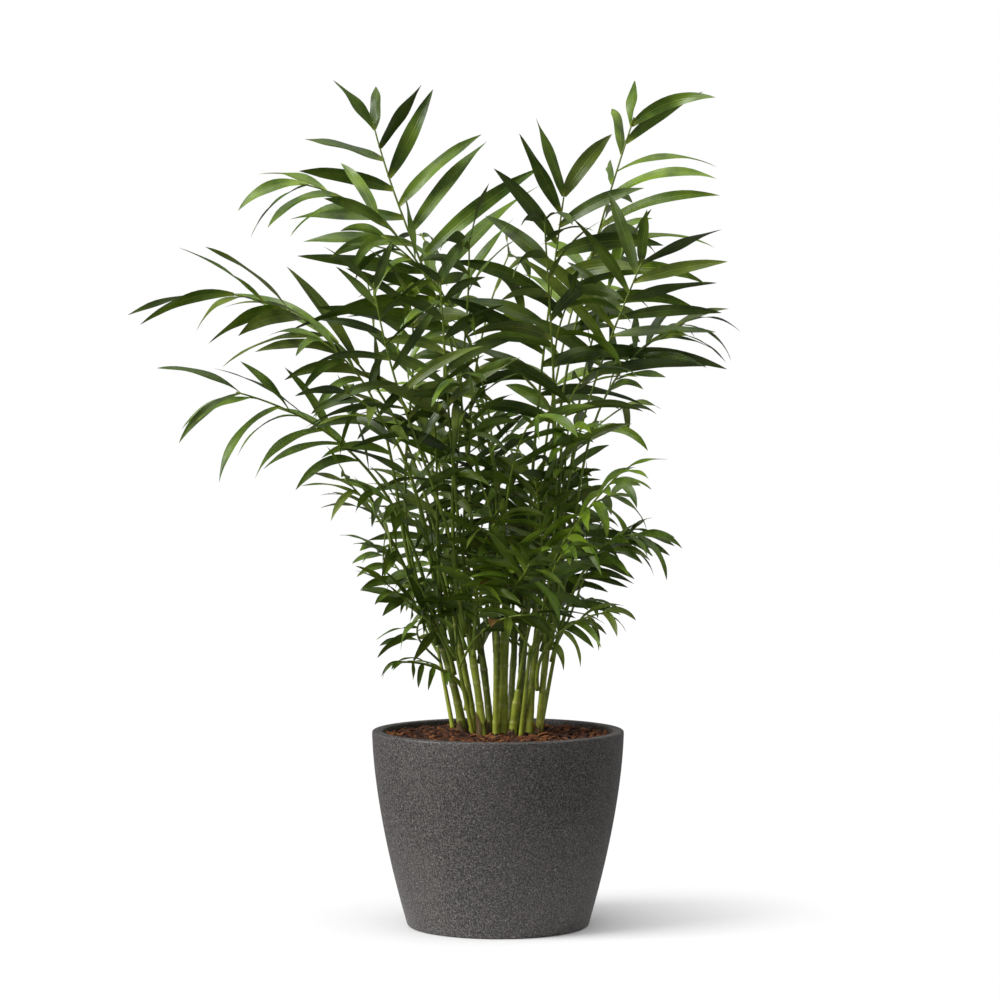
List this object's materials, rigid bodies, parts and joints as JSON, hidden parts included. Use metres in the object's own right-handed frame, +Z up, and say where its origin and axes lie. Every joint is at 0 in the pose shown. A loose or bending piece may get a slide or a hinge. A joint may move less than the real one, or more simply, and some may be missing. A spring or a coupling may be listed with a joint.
{
  "type": "potted parlor palm",
  "caption": "Bushy parlor palm: a clump of slim green canes with feathered arching fronds, in a tapered dark grey round pot filled with bark mulch.",
  "frame": {"origin": "middle of the pot's flat underside", "axes": "+Z up the plant, +X to the right and -Y towards the viewer of its front"},
  "size_m": [0.7124, 0.5772, 1.0211],
  "materials": {
    "pot": "matte, finely speckled like granite",
    "mulch": "rough bark chips",
    "cane": "smooth green, with paler dry sheaths",
    "leaf": "satin green"
  },
  "bodies": {
    "root": {"cane_01": "cane", "cane_02": "cane", "cane_03": "cane", "cane_04": "cane", "cane_05": "cane", "cane_06": "cane", "cane_07": "cane", "cane_08": "cane", "cane_09": "cane", "cane_10": "cane", "cane_11": "cane", "cane_12": "cane", "cane_13": "cane", "cane_14": "cane", "frond_arching_left": "leaf", "frond_left_between": "leaf", "frond_left_bowed": "leaf", "frond_left_inner": "leaf", "frond_left_low": "leaf", "frond_left_lower": "leaf", "frond_left_middle": "leaf", "frond_left_small": "leaf", "frond_left_upper": "leaf", "frond_middle_1": "leaf", "frond_middle_2": "leaf", "frond_middle_3": "leaf", "frond_middle_4": "leaf", "frond_middle_5": "leaf", "frond_middle_6": "leaf", "frond_middle_7": "leaf", "frond_middle_8": "leaf", "frond_middle_9": "leaf", "frond_middle_upright": "leaf", "frond_right": "leaf", "frond_right_level": "leaf", "frond_right_low": "leaf", "frond_right_lower": "leaf", "frond_right_small": "leaf", "frond_top_centre": "leaf", "frond_top_left": "leaf", "frond_top_right": "leaf", "frond_upper_1": "leaf", "frond_upper_2": "leaf", "frond_upper_3": "leaf", "frond_upper_4": "leaf", "frond_upper_5": "leaf", "frond_upper_6": "leaf", "frond_upper_7": "leaf", "frond_upper_8": "leaf", "mulch": "mulch", "pot": "pot", "shoot_1": "leaf", "shoot_2": "leaf", "shoot_3": "leaf", "shoot_4": "leaf", "shoot_5": "leaf", "shoot_6": "leaf"}
  },
  "joints": []
}
